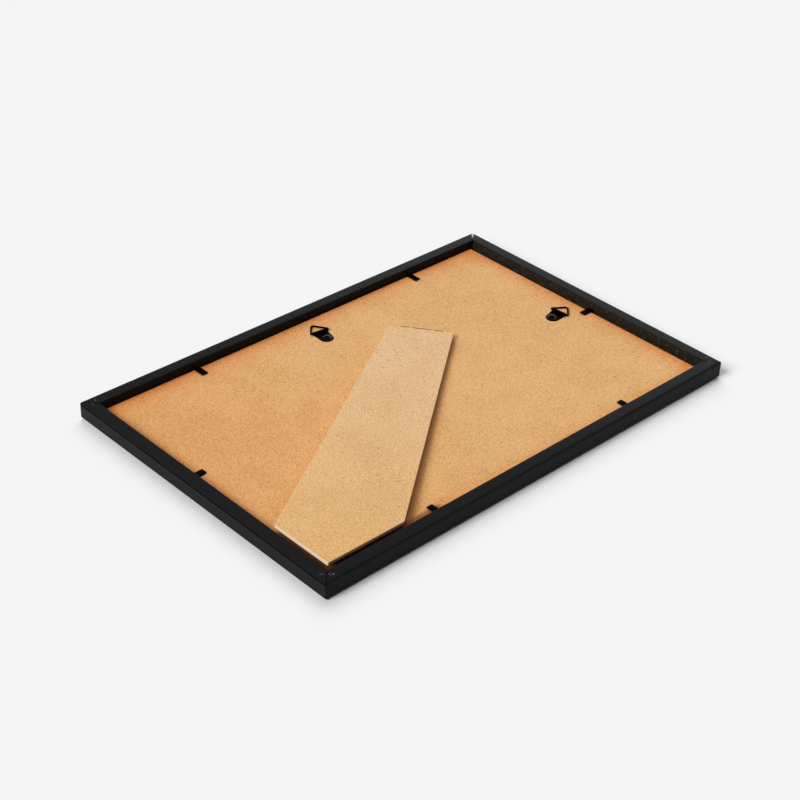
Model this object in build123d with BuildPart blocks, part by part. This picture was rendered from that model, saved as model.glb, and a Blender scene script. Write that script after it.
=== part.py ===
from build123d import *
from math import asin, atan2, cos, degrees, radians, sin, tan
import os

# An easel back photo frame, lying face down with its back up.
# X runs along the long side, Y along the short side and Z up, from the middle of the front face's plane.
# Sizes are in millimetres and angles in degrees.

# Picture and rails
picture_length = 299
picture_width = 193
rebate_play = 0.85  # room between the picture and the rebate on each side
back_wall = 7.65  # width of a rail's back, from the outer face to the rebate
frame_depth = 11.3
lip_reach = 5  # how far the front lip covers the glazing
lip_thickness = 1.4
front_round = 1.8
outer_round = 1  # outer arris of the back
inner_round = 0.25  # rebate's arris
sight_round = 0.6
seam_drop = 1.7  # the foil's overlap seam on the outer face, below the back
seam_width = 0.25
seam_depth = 0.2
mitre_gap = 0.06

# Corner wedges
wedge_thickness = 0.5
wedge_wing = 5
wedge_depth = 6
wedge_sink = 0.15  # how far a wedge is driven below the back face
wedge_share = 0.4  # place of the wedge's bend across the mitre
wedge_splay = 19  # how far each wing leans from its rail

# Glazing, picture insert and backing board
glazing_thickness = 2
insert_thickness = 0.2
board_thickness = 2.4
glazing_play = 0.5  # room round the glazing
board_play_x = 1.6  # room at the board's ends
board_play_y = 0.75  # room along the board's long sides
board_slide = 0.8  # how far the board has slid towards the bottom short rail
panel_arris = 0.2

# Flex tabs
tab_width = 4.5
tab_thickness = 0.45
tab_reach = 8.6  # length of the blade from its bend
tab_shank = 5  # length driven into the rail
tab_corner = 0.6
tab_gap = 0.25  # blade to board
tab_bend_gap = 0.1  # bend to wall

# Strut
hinge_offset_x = 49.05  # hinge pin from the frame's middle
hinge_offset_y = 41.25
hinge_bearing = 37.25  # way the hinge faces, from the long side
foot_gap_short = 2.8  # strut's tip to the short rail
foot_gap_long = 2.8  # strut's tip to the long rail
strut_top_width = 40
strut_taper_short = 6.45  # widening of the side that ends at the short rail
strut_taper_long = 0.3  # widening of the side that ends at the long rail
strut_thickness = 2.2
strut_corner = 1.2
strut_lift = 0.8  # angle of the strut above the board as it lies
strut_open = 39.8  # widest angle, where the hinge's heel meets the board

# Strut hinge
pin_diameter = 1.4
pin_clearance = 0.05
pin_end = 0.5  # length of pin outside the knuckles
leaf_thickness = 0.45
leaf_length = 16
leaf_corner = 2
leaf_gap = 0.15  # between the folded leaves
centre_knuckle = 11.4
side_knuckle = 5.5
knuckle_gap = 2.1
knuckle_room = 0.3  # leaf's edge to the other leaf's knuckles
barrel_gap = 0.05  # knuckles to board
strut_end_gap = 0.4  # strut's top edge to the knuckles
heel_thickness = 0.6
heel_gap = 0.05
prong_width = 2.6
prong_thickness = 0.6
prong_spacing_x = 17
prong_spacing_y = 6
prong_depth_share = 0.64  # of the board that it is driven into

# Hangers
hanger_inset_long = 24.7  # rivet from the rebate wall
hanger_inset_short = 26.9
hanger_aside_long = -0.6  # rivet from the rail's middle, to the right seen from outside
hanger_aside_short = -0.65
hanger_thickness = 0.4
hanger_radius = 4.5  # rounded end of the plate
hanger_end = 0.9  # rivet to the middle of the rounded end, towards the ring
barrel_reach = 7.7  # rivet to the ring's barrel
barrel_length = 10.3
wire_diameter = 1.15
wire_clearance = 0.06
ring_base = 13.7  # between the sharp corners of the wire's middle line
ring_height = 9.3  # to the sharp corner of the wire's middle line
ring_corner = 0.75
ring_apex = 1.35
ring_lean_long = -0.5  # bent ring's sharp corner from its middle, to the right seen from outside
ring_lean_short = 0.25
ring_end_gap = 0.3
ring_rest_gap = 0.05  # ring to board as it lies
rivet_head = 6.4
rivet_rise = 2
rivet_rim = 0.25
rivet_shank = 2.9
rivet_clearance = 0.03
rivet_flare = 4.6
rivet_flare_share = 0.4  # clinched part of the board's thickness

# Places of the flex tabs along each rail, as shares of half the rebate, to the right seen from outside
tab_shares = {
    "long_rail_top": (-0.544, 0.607),
    "long_rail_bottom": (-0.5555, 0.47),
    "short_rail_top": (0.087,),
    "short_rail_bottom": (0.134,),
}
# Turn of each hanger from square to its rail
hanger_turns = {"long": -8, "short": 8}

# Worked-out sizes
up = Vector(0, 0, 1)
half_rebate_x = picture_length / 2 + rebate_play
half_rebate_y = picture_width / 2 + rebate_play
half_frame_x = half_rebate_x + back_wall
half_frame_y = half_rebate_y + back_wall
insert_bottom = lip_thickness + glazing_thickness
board_bottom = insert_bottom + insert_thickness
board_top = board_bottom + board_thickness
hinge_length = centre_knuckle + 2 * (knuckle_gap + side_knuckle)
bore_radius = pin_diameter / 2 + pin_clearance
knuckle_radius = bore_radius + leaf_thickness
pin_height = board_top + barrel_gap + knuckle_radius
strut_seat = board_top + 2 * leaf_thickness + leaf_gap - pin_height
ring_bore = wire_diameter / 2 + wire_clearance
barrel_radius = ring_bore + hanger_thickness
overrun = frame_depth  # length by which cuts pass through

# Outward direction, half length and distance from the middle of each rail
rails = {
    "long_rail_top": (Vector(0, 1, 0), half_frame_x, half_frame_y),
    "long_rail_bottom": (Vector(0, -1, 0), half_frame_x, half_frame_y),
    "short_rail_top": (Vector(1, 0, 0), half_frame_y, half_frame_x),
    "short_rail_bottom": (Vector(-1, 0, 0), half_frame_y, half_frame_x),
}
corners = [(1, 1), (1, -1), (-1, 1), (-1, -1)]

# The strut's frame of reference: the pin's middle, the way square to the pin and the pin's direction
pin_middle = Vector(hinge_offset_x, hinge_offset_y, pin_height)
facing_x = cos(radians(hinge_bearing))
facing_y = sin(radians(hinge_bearing))
strut_way = Vector(-facing_x, -facing_y, 0)
pin_way = strut_way.cross(up)
hinge_plane = Plane(origin=pin_middle, x_dir=pin_way, z_dir=up)
lifted_up = up.rotate(Axis((0, 0, 0), pin_way), strut_lift)
strut_plane = Plane(origin=pin_middle, x_dir=pin_way, z_dir=lifted_up)

os.makedirs("parts", exist_ok=True)


def finish(piece, name):
    piece.part.label = name
    export_step(piece.part, f"parts/{name}.step")


def along_x(plane, start, across, height):
    """Plane square to another's X, with its own X along the other's Y."""
    origin = plane.from_local_coords((start, across, height))
    return Plane(origin=origin, x_dir=plane.y_dir, z_dir=plane.x_dir)


# Corner wedges: a bent steel wing across each mitre
with BuildPart() as wedges:
    for side_x, side_y in corners:
        bend_x = side_x * (half_rebate_x + back_wall * wedge_share)
        bend_y = side_y * (half_rebate_y + back_wall * wedge_share)
        out = wedge_wing * sin(radians(wedge_splay))
        back = wedge_wing * cos(radians(wedge_splay))
        with BuildSketch(Plane.XY.offset(frame_depth - wedge_sink)):
            with BuildLine():
                Polyline(
                    (bend_x + side_x * out, bend_y - side_y * back),
                    (bend_x, bend_y),
                    (bend_x - side_x * back, bend_y + side_y * out),
                )
            trace(line_width=wedge_thickness)
        extrude(amount=-wedge_depth)
finish(wedges, "corner_wedges")


def tab_plane(outward, half_rebate, share, half_run):
    """Plane on a rebate wall at a tab's middle, facing inwards, with Y up."""
    along = outward.cross(up)
    height = board_top + tab_gap + tab_thickness / 2
    origin = outward * half_rebate + along * (share * half_run) + up * height
    return Plane(origin=origin, x_dir=along, z_dir=-outward)


def make_tab(name, wall):
    """A flex tab: the shank in its slot, and the blade that turns up at the bend."""
    with BuildPart() as shank:
        with BuildSketch(wall):
            Rectangle(tab_width, tab_thickness)
        extrude(amount=-tab_shank)
    finish(shank, f"tab_shank_{name}")

    bend = wall.from_local_coords((0, 0, tab_bend_gap + tab_thickness / 2))
    with BuildPart() as blade:
        with BuildSketch(Plane(origin=bend, x_dir=wall.z_dir, z_dir=-wall.x_dir)):
            Circle(tab_thickness / 2)
            Rectangle(tab_reach, tab_thickness, align=(Align.MIN, Align.CENTER))
        extrude(amount=tab_width / 2, both=True)
        fillet(blade.edges().filter_by(Axis.Z), tab_corner)
    finish(blade, f"tab_blade_{name}")
    print("bend", name, [round(value, 3) for value in bend])


def make_rail(name, outward, half_length, half_span, walls):
    """A rail: rebated moulding, mitred at both ends, with its wedges' and tabs' slots."""
    along = outward.cross(up)
    section = Plane(origin=outward * half_span, x_dir=-outward, z_dir=-along)
    with BuildPart() as rail:
        with BuildSketch(section) as profile:
            Rectangle(back_wall, frame_depth, align=(Align.MIN, Align.MIN))
            Rectangle(back_wall + lip_reach, lip_thickness, align=(Align.MIN, Align.MIN))
            front = profile.vertices().group_by(Axis.Y)[0].sort_by(Axis.X)
            back = profile.vertices().group_by(Axis.Y)[-1].sort_by(Axis.X)
            fillet(front[0], front_round)
            fillet(front[-1], sight_round)
            fillet(back[0], outer_round)
            fillet(back[-1], inner_round)
            with Locations((0, frame_depth - seam_drop)):
                Rectangle(2 * seam_depth, seam_width, mode=Mode.SUBTRACT)
        extrude(amount=half_length, both=True)
        for end in (along, -along):
            beyond = (end - outward).normalized()
            corner = outward * half_span + end * half_length - beyond * (mitre_gap / 2)
            split(bisect_by=Plane(origin=corner, z_dir=beyond), keep=Keep.BOTTOM)
        for wall in walls:
            with BuildSketch(wall):
                Rectangle(tab_width, tab_thickness)
            extrude(amount=-tab_shank, mode=Mode.SUBTRACT)
        add(wedges.part, mode=Mode.SUBTRACT)
    finish(rail, name)


# Rails with their flex tabs
for rail_name, (outward, half_length, half_span) in rails.items():
    half_rebate = half_span - back_wall
    half_run = half_length - back_wall
    walls = [tab_plane(outward, half_rebate, share, half_run) for share in tab_shares[rail_name]]
    make_rail(rail_name, outward, half_length, half_span, walls)
    for number, wall in enumerate(walls, start=1):
        make_tab(f"{rail_name}_{number}", wall)


def panel(length, width, bottom, thickness, slide):
    """A flat sheet across the frame, slid along the long side."""
    with BuildSketch(Plane.XY.offset(bottom)) as sheet:
        with Locations((slide, 0)):
            Rectangle(length, width)
    extrude(sheet.sketch, amount=thickness)


# Glazing
glazing_length = 2 * (half_rebate_x - glazing_play)
glazing_width = 2 * (half_rebate_y - glazing_play)
with BuildPart() as glazing:
    panel(glazing_length, glazing_width, lip_thickness, glazing_thickness, 0)
    chamfer(glazing.edges(), panel_arris)
finish(glazing, "glazing")

# Picture insert
with BuildPart() as insert:
    panel(picture_length, picture_width, insert_bottom, insert_thickness, 0)
finish(insert, "picture_insert")


def prongs(level, depth, mode):
    """Prongs of a hinge leaf, driven into the board or the strut."""
    with BuildSketch(level) as points:
        with Locations((0, leaf_length / 2 + knuckle_radius / 2)):
            with GridLocations(prong_spacing_x, prong_spacing_y, 2, 2):
                Rectangle(prong_width, prong_thickness)
    extrude(points.sketch, amount=depth, mode=mode)


def make_leaf(name, plane, level, spans, prong_level, prong_depth, heel):
    """A hinge leaf: plate, knuckles rolled round the pin, and prongs."""
    plate_start = knuckle_radius + knuckle_room
    with BuildPart() as leaf:
        with BuildSketch(plane.offset(level)) as plate:
            with Locations((0, plate_start)):
                Rectangle(hinge_length, leaf_length - plate_start, align=(Align.CENTER, Align.MIN))
            fillet(plate.vertices().group_by(Axis.Y)[-1], leaf_corner)
        extrude(amount=leaf_thickness)
        for start, length in spans:
            with BuildSketch(along_x(plane, start, 0, 0)):
                Circle(knuckle_radius)
                with Locations((0, level)):
                    Rectangle(plate_start, leaf_thickness, align=(Align.MIN, Align.MIN))
                if heel:
                    Rectangle(heel, heel_thickness, align=(Align.MAX, Align.CENTER))
            extrude(amount=length)
        with BuildSketch(along_x(plane, -hinge_length / 2, 0, 0)):
            Circle(bore_radius)
        extrude(amount=hinge_length, mode=Mode.SUBTRACT)
        prongs(plane.offset(prong_level), prong_depth, Mode.ADD)
    finish(leaf, name)


# Strut hinge: the board's leaf has the side knuckles, the strut's leaf the centre one and the stop heel
board_level = board_top - pin_height
board_prong = board_thickness * prong_depth_share
strut_prong = strut_thickness * prong_depth_share
side_start = centre_knuckle / 2 + knuckle_gap
heel_reach = (
    pin_height - board_top - heel_gap - heel_thickness / 2 * cos(radians(strut_open))
) / sin(radians(strut_open))
side_spans = [(side_start, side_knuckle), (-side_start - side_knuckle, side_knuckle)]
centre_spans = [(-centre_knuckle / 2, centre_knuckle)]
make_leaf("hinge_board_leaf", hinge_plane, board_level, side_spans, board_level, -board_prong, 0)
strut_level = strut_seat - leaf_thickness
make_leaf("hinge_strut_leaf", strut_plane, strut_level, centre_spans, strut_seat, strut_prong, heel_reach)

# Hinge pin
with BuildPart() as pin:
    with BuildSketch(along_x(hinge_plane, -hinge_length / 2 - pin_end, 0, 0)):
        Circle(pin_diameter / 2)
    extrude(amount=hinge_length + 2 * pin_end)
    chamfer(pin.edges().filter_by(GeomType.CIRCLE), pin_end / 2)
finish(pin, "hinge_pin")

# Strut: tapered leg whose V foot is cut along the short and the long rail
strut_start = knuckle_radius + strut_end_gap
half_top = strut_top_width / 2
tip_run_x = hinge_offset_x + half_rebate_x - foot_gap_short
tip_run_y = hinge_offset_y + half_rebate_y - foot_gap_long
tip_across = tip_run_x * facing_y - tip_run_y * facing_x
tip_down = tip_run_x * facing_x + tip_run_y * facing_y
spread_short = tan(radians(strut_taper_short))
spread_long = tan(radians(strut_taper_long))
run_short = half_top + (tip_down - strut_start) * spread_short - tip_across
run_long = half_top + (tip_down - strut_start) * spread_long + tip_across
short_edge = run_short / (facing_x + spread_short * facing_y)
long_edge = run_long / (facing_y + spread_long * facing_x)
short_corner = (tip_across + short_edge * facing_x, tip_down - short_edge * facing_y)
long_corner = (tip_across - long_edge * facing_y, tip_down - long_edge * facing_x)
with BuildPart() as strut:
    with BuildSketch(strut_plane.offset(strut_seat)) as outline:
        with BuildLine():
            Polyline(
                (half_top, strut_start),
                short_corner,
                (tip_across, tip_down),
                long_corner,
                (-half_top, strut_start),
                close=True,
            )
        make_face()
        fillet(outline.vertices().group_by(Axis.Y)[0], strut_corner)
    extrude(amount=strut_thickness)
    prongs(strut_plane.offset(strut_seat), strut_prong, Mode.SUBTRACT)
finish(strut, "strut")


def hanger_plane(outward, distance, aside, turn):
    """Plane on the board at a hanger's rivet, with Y towards its ring."""
    way = outward.rotate(Axis.Z, turn)
    origin = outward * distance + outward.cross(up) * aside + up * board_top
    return Plane(origin=origin, x_dir=way.cross(up), z_dir=up)


def rivet_profile(radius_gain):
    """Half section of a rivet's shank and clinched tail, widened for its hole."""
    flare_top = board_bottom + board_thickness * rivet_flare_share
    shank = rivet_shank / 2 + radius_gain
    flare = rivet_flare / 2 + radius_gain
    return [(0, board_bottom), (flare, board_bottom), (shank, flare_top)]


def make_hanger(name, plane, lean):
    """A hanger: plate with a rolled barrel, wire ring in the barrel, and domed rivet."""
    with BuildPart() as plate:
        with BuildSketch(plane):
            with Locations((0, hanger_end)):
                Circle(hanger_radius)
            with BuildLine():
                Polyline(
                    (-hanger_radius, hanger_end),
                    (hanger_radius, hanger_end),
                    (barrel_length / 2, barrel_reach),
                    (-barrel_length / 2, barrel_reach),
                    close=True,
                )
            make_face()
        extrude(amount=hanger_thickness)
        with BuildSketch(along_x(plane, -barrel_length / 2, barrel_reach, barrel_radius)):
            Circle(barrel_radius)
        extrude(amount=barrel_length)
        with BuildSketch(along_x(plane, -barrel_length / 2, barrel_reach, barrel_radius)):
            Circle(ring_bore)
        extrude(amount=barrel_length, mode=Mode.SUBTRACT)
        with BuildSketch(plane):
            Circle(rivet_shank / 2 + rivet_clearance)
        extrude(amount=hanger_thickness, mode=Mode.SUBTRACT)
    finish(plate, f"hanger_plate_{name}")

    barrel = plane.from_local_coords((0, barrel_reach, barrel_radius))
    half_apex = atan2(ring_base / 2, ring_height)
    apex_run = ring_height - ring_apex * (1 / sin(half_apex) - 1)
    droop = degrees(asin((barrel_radius - wire_diameter / 2 - ring_rest_gap) / apex_run))
    tilted = up.rotate(Axis((0, 0, 0), plane.x_dir), -droop)
    with BuildPart() as ring:
        with BuildLine(Plane(origin=barrel, x_dir=plane.x_dir, z_dir=tilted)) as wire:
            FilletPolyline(
                (ring_end_gap / 2, 0),
                (ring_base / 2, 0),
                (lean, ring_height),
                (-ring_base / 2, 0),
                (-ring_end_gap / 2, 0),
                radius=[ring_corner, ring_apex, ring_corner],
            )
        with BuildSketch(Plane(origin=wire.line @ 0, z_dir=wire.line % 0)):
            Circle(wire_diameter / 2)
        sweep(path=wire.line)
    finish(ring, f"hanger_ring_{name}")
    print("barrel", name, [round(value, 3) for value in barrel], "droop", round(droop, 3))

    head_bottom = board_top + hanger_thickness
    head_top = head_bottom + rivet_rise
    middle = Vector(plane.origin.X, plane.origin.Y, 0)
    with BuildPart() as rivet:
        with BuildSketch(Plane(origin=middle, x_dir=(1, 0, 0), z_dir=(0, -1, 0))):
            with BuildLine():
                Polyline(
                    (0, head_top),
                    *rivet_profile(0),
                    (rivet_shank / 2, head_bottom),
                    (rivet_head / 2, head_bottom),
                    (rivet_head / 2, head_bottom + rivet_rim),
                )
                TangentArc((0, head_top), (rivet_head / 2, head_bottom + rivet_rim), tangent=(1, 0))
            make_face()
        revolve(axis=Axis(middle, (0, 0, 1)))
    finish(rivet, f"hanger_rivet_{name}")


# Hangers, one for each way up
rivet_y = half_rebate_y - hanger_inset_long
rivet_x = half_rebate_x - hanger_inset_short
hangers = {
    "long": hanger_plane(rails["long_rail_top"][0], rivet_y, hanger_aside_long, hanger_turns["long"]),
    "short": hanger_plane(rails["short_rail_top"][0], rivet_x, hanger_aside_short, hanger_turns["short"]),
}
make_hanger("long", hangers["long"], ring_lean_long)
make_hanger("short", hangers["short"], ring_lean_short)

# Backing board, with the hinge leaf's prong slots and the rivets' countersunk holes
board_length = 2 * (half_rebate_x - board_play_x)
board_width = 2 * (half_rebate_y - board_play_y)
with BuildPart() as board:
    panel(board_length, board_width, board_bottom, board_thickness, -board_slide)
    chamfer(board.edges(), panel_arris)
    prongs(hinge_plane.offset(board_level), -board_prong, Mode.SUBTRACT)
    for plane in hangers.values():
        middle = Vector(plane.origin.X, plane.origin.Y, 0)
        hole_top = (rivet_shank / 2 + rivet_clearance, board_top + overrun)
        with BuildSketch(Plane(origin=middle, x_dir=(1, 0, 0), z_dir=(0, -1, 0))):
            with BuildLine():
                Polyline(*rivet_profile(rivet_clearance), hole_top, (0, hole_top[1]), close=True)
            make_face()
        revolve(axis=Axis(middle, (0, 0, 1)), mode=Mode.SUBTRACT)
finish(board, "backing_board")

print("pin", [round(value, 3) for value in pin_middle], "way", [round(value, 5) for value in pin_way])
print("strut tip", round(tip_across, 2), round(tip_down, 2))
print("heel", round(heel_reach, 3))
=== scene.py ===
import bmesh
import bpy
import numpy as np
from mathutils import Matrix, Vector


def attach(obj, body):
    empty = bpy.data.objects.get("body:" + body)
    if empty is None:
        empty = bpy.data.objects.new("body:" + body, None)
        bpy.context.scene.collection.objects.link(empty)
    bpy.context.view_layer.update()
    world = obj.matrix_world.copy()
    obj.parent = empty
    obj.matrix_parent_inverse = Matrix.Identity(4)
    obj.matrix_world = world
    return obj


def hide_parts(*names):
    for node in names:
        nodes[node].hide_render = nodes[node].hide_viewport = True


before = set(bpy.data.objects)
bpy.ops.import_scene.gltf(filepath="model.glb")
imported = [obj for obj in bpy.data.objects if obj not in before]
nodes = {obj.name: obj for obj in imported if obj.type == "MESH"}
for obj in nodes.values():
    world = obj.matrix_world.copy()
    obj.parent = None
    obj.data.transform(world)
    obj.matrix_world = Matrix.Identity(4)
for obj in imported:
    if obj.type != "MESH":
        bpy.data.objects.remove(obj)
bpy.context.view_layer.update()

mm = 0.001
turnFull = 2 * np.pi
turnQuarter = np.pi / 2
up = np.array([0.0, 0.0, 1.0])
print("frame loaded:", len(nodes), "nodes")

# Camera: the photograph's view of the frame lying face down
view = {"azimuth": -44.85, "elevation": 33.78, "roll": 2.6, "distance": 1.0062, "target": (-7.96, 0.0, 1.58),
        "lens": 77.715, "sensor": 36.0}
azimuth, elevation, roll = (np.radians(view[key]) for key in ("azimuth", "elevation", "roll"))
away = Vector((np.sin(azimuth) * np.cos(elevation), -np.cos(azimuth) * np.cos(elevation), np.sin(elevation)))
level = Vector((0, 0, 1)).cross(away).normalized()
upright = away.cross(level)
camRight = level * np.cos(roll) + upright * np.sin(roll)
camUp = upright * np.cos(roll) - level * np.sin(roll)
camData = bpy.data.cameras.new("photoCamera")
camData.lens = view["lens"]
camData.sensor_width = view["sensor"]
camera = bpy.data.objects.new("photoCamera", camData)
cameraPlace = Matrix.Translation(Vector(view["target"]) * mm + away * view["distance"])
camera.matrix_world = cameraPlace @ Matrix((camRight, camUp, away)).transposed().to_4x4()
bpy.context.scene.collection.objects.link(camera)
bpy.context.scene.camera = camera
print("camera set")


# Mesh helpers: every piece is one or more numpy grids joined in one mesh
def newShell():
    return {"verts": [], "faces": [], "marks": {}, "count": 0}


# Quads on a grid of points, first index along the sweep and second round the section;
# the ends are capped unless it is a ring
def addGrid(shell, points, ring=False, **marks):
    nu, nv = points.shape[:2]
    index = shell["count"] + np.arange(nu * nv).reshape(nu, nv)
    a = index if ring else index[:-1]
    b = np.roll(index, -1, axis=0) if ring else index[1:]
    quads = np.stack([a, b, np.roll(b, -1, axis=1), np.roll(a, -1, axis=1)], axis=-1)
    shell["faces"] += quads.reshape(-1, 4).tolist()
    if not ring:
        shell["faces"] += [index[0].tolist(), index[-1][::-1].tolist()]
    shell["verts"].append(points.reshape(-1, 3))
    shell["count"] += nu * nv
    for key, values in marks.items():
        shell["marks"].setdefault(key, []).append(np.broadcast_to(values, (nu, nv)).reshape(-1))


# A shell in millimetres becomes an object that rides on a body; second is another material and the mask
# of the faces that have it
def makePiece(name, shell, material, body, replaced, sharp, second=None):
    mesh = bpy.data.meshes.new(name)
    mesh.from_pydata((np.concatenate(shell["verts"]) * mm).tolist(), [], shell["faces"])
    for key, values in shell["marks"].items():
        attribute = mesh.attributes.new(key, "FLOAT", "POINT")
        attribute.data.foreach_set("value", np.concatenate(values).astype(np.float32))
    work = bmesh.new()
    work.from_mesh(mesh)
    bmesh.ops.recalc_face_normals(work, faces=work.faces)
    work.to_mesh(mesh)
    work.free()
    mesh.polygons.foreach_set("use_smooth", np.ones(len(mesh.polygons), bool))
    mesh.set_sharp_from_angle(angle=np.radians(sharp))
    mesh.materials.append(material)
    if second:
        mesh.materials.append(second[0])
        mesh.polygons.foreach_set("material_index", second[1].astype(np.int32))
    piece = bpy.data.objects.new(name, mesh)
    bpy.context.scene.collection.objects.link(piece)
    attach(piece, body)
    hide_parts(*replaced)


def arc(centre, radius, start, end, steps):
    angle = np.radians(np.linspace(start, end, steps))
    return np.stack([centre[0] + radius * np.cos(angle), centre[1] + radius * np.sin(angle)], axis=1)


def unit(rows):
    return rows / np.linalg.norm(rows, axis=1)[:, None]


# Steps between each point's neighbours on a closed line
def tangents(line):
    return np.roll(line, -1, axis=0) - np.roll(line, 1, axis=0)


# Ways out of the frame and along it, for the side that faces outward
def sideWays(outward):
    return np.array([*outward, 0.0]), np.array([outward[1], -outward[0], 0.0])


# Thin strip with rounded rims: centre + across * c + normal * h, where (c, h) goes once round a stadium
def sheetSweep(shell, centre, across, normal, halfWidth, thickness, flat=7, rim=6, **marks):
    radius = np.minimum(thickness / 2, halfWidth)[:, None]
    reach = np.maximum(halfWidth[:, None] - radius, 0)
    bend = np.linspace(-turnQuarter, turnQuarter, rim)[None, :]
    span = np.linspace(-1, 1, flat)[None, 1:-1]
    rimC = reach + radius * np.cos(bend)
    rimH = np.broadcast_to(thickness / 2 * np.sin(bend), rimC.shape)
    topC = -reach * span
    topH = np.full_like(topC, thickness / 2)
    cs = np.concatenate([rimC, topC, -rimC, -topC], axis=1)
    hs = np.concatenate([rimH, topH, -rimH, -topH], axis=1)
    points = centre[:, None] + across[:, None] * cs[..., None] + normal[:, None] * hs[..., None]
    addGrid(shell, points, **marks)


# Node helpers for the materials
def feed(tree, socket, value):
    if isinstance(value, bpy.types.NodeSocket):
        tree.links.new(value, socket)
    else:
        socket.default_value = value


def addNode(tree, kind, inputs=None, **props):
    made = tree.nodes.new(kind)
    for key, value in props.items():
        setattr(made, key, value)
    for key, value in (inputs or {}).items():
        feed(tree, made.inputs[key], value)
    return made


def calc(tree, operation, *values, clamp=False):
    made = addNode(tree, "ShaderNodeMath", dict(enumerate(values)), operation=operation, use_clamp=clamp)
    return made.outputs[0]


def noise(tree, vector, scale, detail=2.0, rough=0.5, distortion=0.0):
    inputs = {"Vector": vector, "Scale": scale, "Detail": detail, "Roughness": rough,
              "Distortion": distortion}
    return addNode(tree, "ShaderNodeTexNoise", inputs).outputs["Fac"]


def ramp(tree, value, low, high, start=0.0, end=1.0):
    inputs = {"Value": value, "From Min": low, "From Max": high, "To Min": start, "To Max": end}
    return addNode(tree, "ShaderNodeMapRange", inputs, interpolation_type="SMOOTHSTEP").outputs[0]


def blendColour(tree, factor, first, second, mode="MIX"):
    made = addNode(tree, "ShaderNodeMix", {"Factor": factor}, data_type="RGBA", blend_type=mode)
    for name, value in (("A", first), ("B", second)):
        socket = [s for s in made.inputs if s.name == name and s.type == "RGBA"][0]
        feed(tree, socket, value if isinstance(value, bpy.types.NodeSocket) else (*value, 1.0))
    return [s for s in made.outputs if s.type == "RGBA"][0]


def newGroup(name, inputs, outputs):
    group = bpy.data.node_groups.new(name, "ShaderNodeTree")
    for label, kind, default in inputs:
        socket = group.interface.new_socket(label, in_out="INPUT", socket_type=kind)
        if default is not None:
            socket.default_value = default
    for label in outputs:
        group.interface.new_socket(label, in_out="OUTPUT", socket_type="NodeSocketFloat")
    return group, group.nodes.new("NodeGroupInput").outputs, group.nodes.new("NodeGroupOutput").inputs


def useGroup(tree, group, inputs):
    return addNode(tree, "ShaderNodeGroup", inputs, node_tree=group).outputs


def newMaterial(name, **settings):
    material = bpy.data.materials.new(name)
    material.use_nodes = True
    tree = material.node_tree
    shader = tree.nodes["Principled BSDF"]
    for key, value in settings.items():
        shader.inputs[key.replace("_", " ")].default_value = value
    place = addNode(tree, "ShaderNodeTexCoord").outputs["Object"]
    return material, tree, shader, place


def mark(tree, name):
    return addNode(tree, "ShaderNodeAttribute", attribute_name=name).outputs["Fac"]


def dotted(tree, vector, way):
    made = addNode(tree, "ShaderNodeVectorMath", {0: vector, 1: way}, operation="DOT_PRODUCT")
    return made.outputs["Value"]


def separated(tree, vector):
    return addNode(tree, "ShaderNodeSeparateXYZ", {0: vector}).outputs


def bump(tree, shader, height, strength, distance):
    inputs = {"Height": height, "Strength": strength, "Distance": distance * mm}
    made = addNode(tree, "ShaderNodeBump", inputs)
    tree.links.new(made.outputs[0], shader.inputs["Normal"])


def stretched(tree, vector, scale, turn=0.0):
    inputs = {"Vector": vector, "Scale": scale, "Rotation": (0, 0, np.radians(turn))}
    return addNode(tree, "ShaderNodeMapping", inputs).outputs[0]


# Shared effects
# Fibre: noise scales, and the spans of noise that become 0 to 1
fibreLook = {"mottle": 45, "coarse": 1100, "fine": 2300, "coarseShare": 0.4, "fineShare": 0.6,
             "grainSpan": (0.39, 0.61), "specks": ((560, 0.70, 0.76), (1000, 0.69, 0.76)),
             "stretch": (190, 1300, 1), "turns": (25, 80, -50), "bend": 1.5, "fibreSpan": (0.66, 0.82)}
fibreGroup, gin, gout = newGroup("fibreSpeckle", [("Vector", "NodeSocketVector", None)],
                                 ("Mottle", "Grain", "Speck", "Fibre", "Height"))
mottle = ramp(fibreGroup, noise(fibreGroup, gin["Vector"], fibreLook["mottle"], 3, 0.55), 0.3, 0.7)
coarse = noise(fibreGroup, gin["Vector"], fibreLook["coarse"], 2, 0.7)
fine = noise(fibreGroup, gin["Vector"], fibreLook["fine"], 1, 0.7)
grain = calc(fibreGroup, "MULTIPLY_ADD", fine, fibreLook["fineShare"],
             calc(fibreGroup, "MULTIPLY", coarse, fibreLook["coarseShare"]))
specks = [ramp(fibreGroup, noise(fibreGroup, gin["Vector"], scale, 1, 0.5), low, high)
          for scale, low, high in fibreLook["specks"]]
fibres = [noise(fibreGroup, stretched(fibreGroup, gin["Vector"], fibreLook["stretch"], turn), 1.0, 2, 0.5,
                fibreLook["bend"]) for turn in fibreLook["turns"]]
fibre = calc(fibreGroup, "MAXIMUM", calc(fibreGroup, "MAXIMUM", fibres[0], fibres[1]), fibres[2])
for label, value in (("Mottle", mottle), ("Grain", ramp(fibreGroup, grain, *fibreLook["grainSpan"])),
                     ("Speck", calc(fibreGroup, "MAXIMUM", *specks)),
                     ("Fibre", ramp(fibreGroup, fibre, *fibreLook["fibreSpan"])),
                     ("Height", calc(fibreGroup, "ADD", coarse, fine))):
    fibreGroup.links.new(value, gout[label])

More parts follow.
